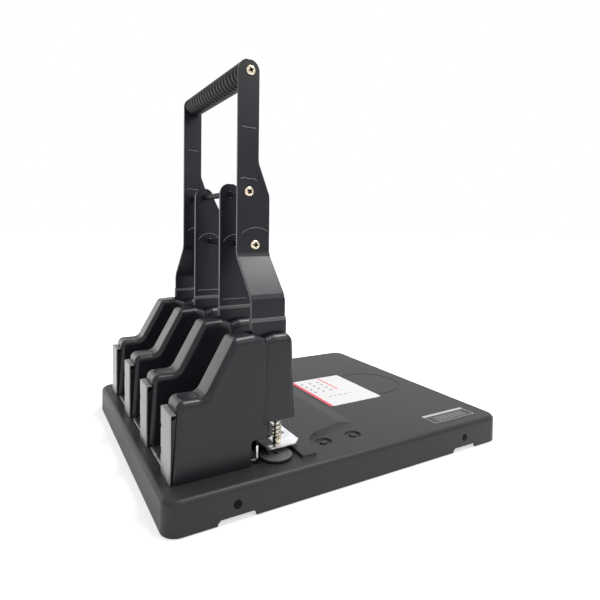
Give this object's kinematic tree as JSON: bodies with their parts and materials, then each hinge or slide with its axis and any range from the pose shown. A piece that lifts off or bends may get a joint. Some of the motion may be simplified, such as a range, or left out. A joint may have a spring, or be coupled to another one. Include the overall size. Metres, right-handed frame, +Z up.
{
  "type": "four-hole punch",
  "caption": "Tall black desk punch with four narrow heads, one lever frame with a ribbed grip, and a wide paper table.",
  "frame": {"origin": "on the ground under the middle of the base", "axes": "+X along the row of heads, +Y from the backs of the heads to the front of the paper table, +Z up"},
  "size_m": [0.32, 0.379, 0.4002],
  "materials": {
    "base_plastic": "fine sheen, dark grey",
    "cover_plastic": "satin black",
    "lever_enamel": "satin black enamel",
    "zinc": "bright zinc plate",
    "yellow_zinc": "yellowish zinc plate",
    "tool_steel": "ground",
    "grip_rubber": "matt",
    "disc_plastic": "matt black",
    "foot_rubber": "matt",
    "white_label": "white film with a red stripe",
    "dark_label": "dark film with a pale outline"
  },
  "bodies": {
    "stand": {"base_housing": "base_plastic", "bottom_tray": "zinc", "guide_label": "white_label", "rating_label": "dark_label", "rear_rail": "zinc", "stripper_plate": "zinc", "foot_rear_left": "foot_rubber", "tray_screw_rear_left": "lever_enamel", "foot_rear_right": "foot_rubber", "tray_screw_rear_right": "lever_enamel", "foot_front_left": "foot_rubber", "tray_screw_front_left": "lever_enamel", "foot_front_right": "foot_rubber", "tray_screw_front_right": "lever_enamel", "head_frame_1": "zinc", "head_cover_1": "cover_plastic", "guide_bush_1": "yellow_zinc", "pivot_pin_1": "tool_steel", "return_spring_1": "yellow_zinc", "head_frame_2": "zinc", "head_cover_2": "cover_plastic", "guide_bush_2": "yellow_zinc", "pivot_pin_2": "tool_steel", "return_spring_2": "yellow_zinc", "head_frame_3": "zinc", "head_cover_3": "cover_plastic", "guide_bush_3": "yellow_zinc", "pivot_pin_3": "tool_steel", "return_spring_3": "yellow_zinc", "head_frame_4": "zinc", "head_cover_4": "cover_plastic", "guide_bush_4": "yellow_zinc", "pivot_pin_4": "tool_steel", "return_spring_4": "yellow_zinc"},
    "lever": {"outer_arm_left": "lever_enamel", "inner_arm_left": "lever_enamel", "grip_screw_left": "yellow_zinc", "upper_tie_screw_left": "yellow_zinc", "lower_tie_screw_left": "yellow_zinc", "outer_arm_right": "lever_enamel", "inner_arm_right": "lever_enamel", "grip_screw_right": "yellow_zinc", "upper_tie_screw_right": "yellow_zinc", "lower_tie_screw_right": "yellow_zinc", "cam_foot_1": "lever_enamel", "cam_foot_2": "lever_enamel", "cam_foot_3": "lever_enamel", "cam_foot_4": "lever_enamel", "grip_sleeve": "grip_rubber", "grip_rod": "tool_steel", "tie_rod_upper": "lever_enamel", "tie_rod_lower": "lever_enamel"},
    "punch_1": {"punch_pin_1": "tool_steel"},
    "disc_1": {"cutting_disc_1": "disc_plastic"},
    "punch_2": {"punch_pin_2": "tool_steel"},
    "disc_2": {"cutting_disc_2": "disc_plastic"},
    "punch_3": {"punch_pin_3": "tool_steel"},
    "disc_3": {"cutting_disc_3": "disc_plastic"},
    "punch_4": {"punch_pin_4": "tool_steel"},
    "disc_4": {"cutting_disc_4": "disc_plastic"}
  },
  "joints": [
    {"name": "lever_swing", "type": "hinge", "parent": "stand", "child": "lever", "pos_m": [0, -0.0787, 0.1177], "axis": [-1, 0, 0], "range_deg": [0, 60], "stiffness_Nm_per_rad": 0.33, "springref_deg": -108.86},
    {"name": "punch_1_slide", "type": "slide", "parent": "stand", "child": "punch_1", "axis": [0, 0, -1], "range_m": [0, 0.0044], "deforming": ["return_spring_1"]},
    {"name": "disc_1_turn", "type": "hinge", "parent": "stand", "child": "disc_1", "pos_m": [-0.1115, -0.0798, 0.0296], "axis": [0, 0, 1], "continuous": true},
    {"name": "punch_2_slide", "type": "slide", "parent": "stand", "child": "punch_2", "axis": [0, 0, -1], "range_m": [0, 0.0044], "deforming": ["return_spring_2"]},
    {"name": "disc_2_turn", "type": "hinge", "parent": "stand", "child": "disc_2", "pos_m": [-0.0315, -0.0798, 0.0296], "axis": [0, 0, 1], "continuous": true},
    {"name": "punch_3_slide", "type": "slide", "parent": "stand", "child": "punch_3", "axis": [0, 0, -1], "range_m": [0, 0.0044], "deforming": ["return_spring_3"]},
    {"name": "disc_3_turn", "type": "hinge", "parent": "stand", "child": "disc_3", "pos_m": [0.0485, -0.0798, 0.0296], "axis": [0, 0, 1], "continuous": true},
    {"name": "punch_4_slide", "type": "slide", "parent": "stand", "child": "punch_4", "axis": [0, 0, -1], "range_m": [0, 0.0044], "deforming": ["return_spring_4"]},
    {"name": "disc_4_turn", "type": "hinge", "parent": "stand", "child": "disc_4", "pos_m": [0.1285, -0.0798, 0.0296], "axis": [0, 0, 1], "continuous": true}
  ],
  "couplings": [
    {"joint": "punch_1_slide", "follows": "lever_swing", "m_per_rad": 0.0042017},
    {"joint": "punch_2_slide", "follows": "lever_swing", "m_per_rad": 0.0042017},
    {"joint": "punch_3_slide", "follows": "lever_swing", "m_per_rad": 0.0042017},
    {"joint": "punch_4_slide", "follows": "lever_swing", "m_per_rad": 0.0042017}
  ]
}
